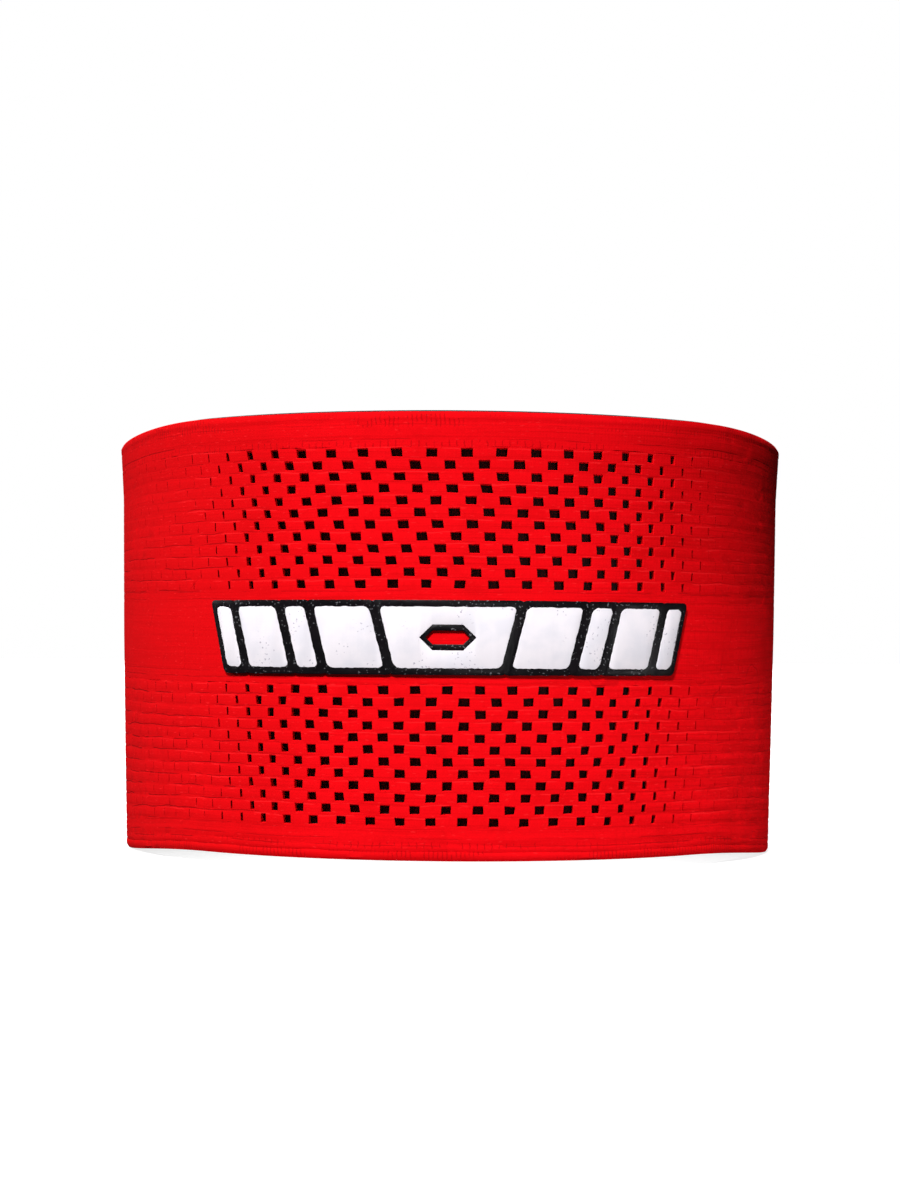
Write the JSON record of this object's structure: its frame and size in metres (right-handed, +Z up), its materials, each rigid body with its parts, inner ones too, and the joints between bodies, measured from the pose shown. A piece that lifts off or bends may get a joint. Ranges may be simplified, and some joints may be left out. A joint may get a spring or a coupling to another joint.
{
  "type": "captain armband",
  "caption": "Wide perforated elastic armband with a dark lining, a plain middle strip and a raised light emblem with a dark edge, standing on its rim.",
  "frame": {"origin": "on the surface that the armband stands on, under the middle of the band", "axes": "+Z up along the arm hollow, -Y towards the emblem at the front, +X to the right seen from the front"},
  "size_m": [0.1, 0.108, 0.0619],
  "materials": {
    "band_knit": "matte woven elastic",
    "lining_cloth": "matte dark cloth",
    "emblem_dark": "satin transfer film",
    "emblem_light": "satin transfer film"
  },
  "bodies": {
    "root": {"band": "band_knit", "lining": "lining_cloth", "emblem_outline": "emblem_dark", "emblem_slot_ring": "emblem_dark", "emblem_middle": "emblem_light", "emblem_left_first": "emblem_light", "emblem_right_first": "emblem_light", "emblem_left_second": "emblem_light", "emblem_right_second": "emblem_light", "emblem_left_third": "emblem_light", "emblem_right_third": "emblem_light", "emblem_left_fourth": "emblem_light", "emblem_right_fourth": "emblem_light"}
  },
  "joints": []
}
